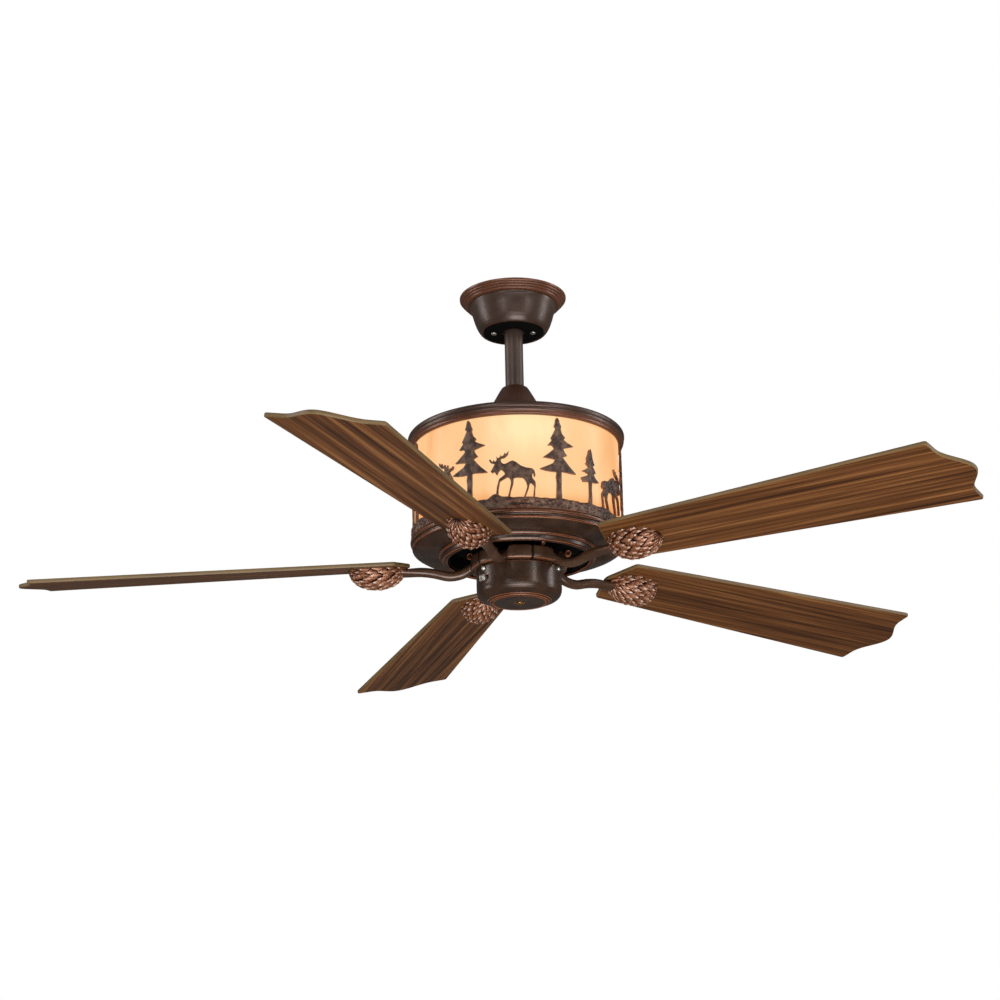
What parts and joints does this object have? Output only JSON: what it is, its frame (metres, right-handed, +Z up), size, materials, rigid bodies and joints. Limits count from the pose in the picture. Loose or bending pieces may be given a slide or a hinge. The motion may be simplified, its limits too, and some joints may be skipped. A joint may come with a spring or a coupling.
{
  "type": "ceiling fan with light",
  "caption": "Ceiling fan on a short downrod: lit drum with cut-out woodland band, stepped bronze housing, S-shaped irons with pine cone covers, and pitched walnut blades with crowned tips.",
  "frame": {"origin": "middle of the hanger bracket's top face, where it meets the ceiling, on the fan's axis", "axes": "+Z up along the downrod; the picture looks along +Y and upwards; +X is to its right"},
  "size_m": [1.314, 1.3528, 0.469],
  "materials": {
    "bronze": "burnished dark bronze, satin, with copper rubbed through on the ridges",
    "bronze_red": "red-brown bronze, satin",
    "bronze_relief": "mottled, lightly hammered bronze",
    "black_paint": "matt black paint",
    "zinc_steel": "zinc plated",
    "cast_iron": "dark sand-cast metal",
    "copper_wire": "enamelled copper wire",
    "drum_glass": "frosted amber scavo glass, lit from inside",
    "bulb_glass": "frosted lamp glass",
    "porcelain": "glazed white porcelain",
    "pine_cone_bronze": "antiqued red-brown casting, pale rubbed scale tips",
    "walnut": "satin dark walnut veneer with straight grain",
    "brass": "polished",
    "black_plastic": "moulded"
  },
  "bodies": {
    "ceiling_mount": {"hanger_bracket": "zinc_steel", "canopy": "bronze", "canopy_cover": "black_paint", "canopy_screw_left": "zinc_steel", "canopy_screw_right": "zinc_steel"},
    "hanging_frame": {"hanger_ball": "black_plastic", "hanger_pin": "zinc_steel", "downrod": "bronze", "coupling_yoke": "cast_iron", "coupling_pin": "zinc_steel", "coupling_cover": "bronze_red", "top_plate": "bronze", "rim_ring": "bronze", "glass_drum": "drum_glass", "scenic_band": "bronze_relief", "housing_pan": "bronze", "housing_post_1": "zinc_steel", "housing_post_2": "zinc_steel", "housing_post_3": "zinc_steel", "motor_shaft": "zinc_steel", "stator_core": "cast_iron", "stator_winding": "copper_wire", "lamp_plate": "zinc_steel", "lampholder_1": "porcelain", "lampholder_2": "porcelain", "lampholder_3": "porcelain", "bulb_1": "bulb_glass", "bulb_2": "bulb_glass", "bulb_3": "bulb_glass", "switch_plate": "zinc_steel", "switch_housing": "bronze", "switch_cap": "bronze", "cap_plug": "brass", "housing_screw_1": "zinc_steel", "housing_screw_2": "zinc_steel", "housing_screw_3": "zinc_steel", "reverse_switch": "black_plastic", "run_capacitor": "black_plastic"},
    "reverse_knob": {"reverse_switch_knob": "zinc_steel"},
    "rotor": {"rotor_ring": "cast_iron", "rotor_upper_shell": "cast_iron", "rotor_lower_shell": "black_paint", "upper_bearing": "zinc_steel", "lower_bearing": "zinc_steel", "rotor_hub": "black_paint", "blade_iron_1": "bronze", "blade_iron_2": "bronze", "blade_iron_3": "bronze", "blade_iron_4": "bronze", "blade_iron_5": "bronze", "pine_cone_1": "pine_cone_bronze", "pine_cone_2": "pine_cone_bronze", "pine_cone_3": "pine_cone_bronze", "pine_cone_4": "pine_cone_bronze", "pine_cone_5": "pine_cone_bronze", "blade_1": "walnut", "blade_2": "walnut", "blade_3": "walnut", "blade_4": "walnut", "blade_5": "walnut"}
  },
  "joints": [
    {"name": "hanger_tilt", "type": "hinge", "parent": "ceiling_mount", "child": "hanging_frame", "pos_m": [0, 0, -0.034], "axis": [1, 0, 0], "range_deg": [-4, 4]},
    {"name": "fan_spin", "type": "hinge", "parent": "hanging_frame", "child": "rotor", "pos_m": [0, 0, -0.402], "axis": [0, 0, 1], "continuous": true},
    {"name": "reverse_slide", "type": "slide", "parent": "hanging_frame", "child": "reverse_knob", "axis": [0.5693, -0.8221, 0], "range_m": [0, 0.006]}
  ]
}
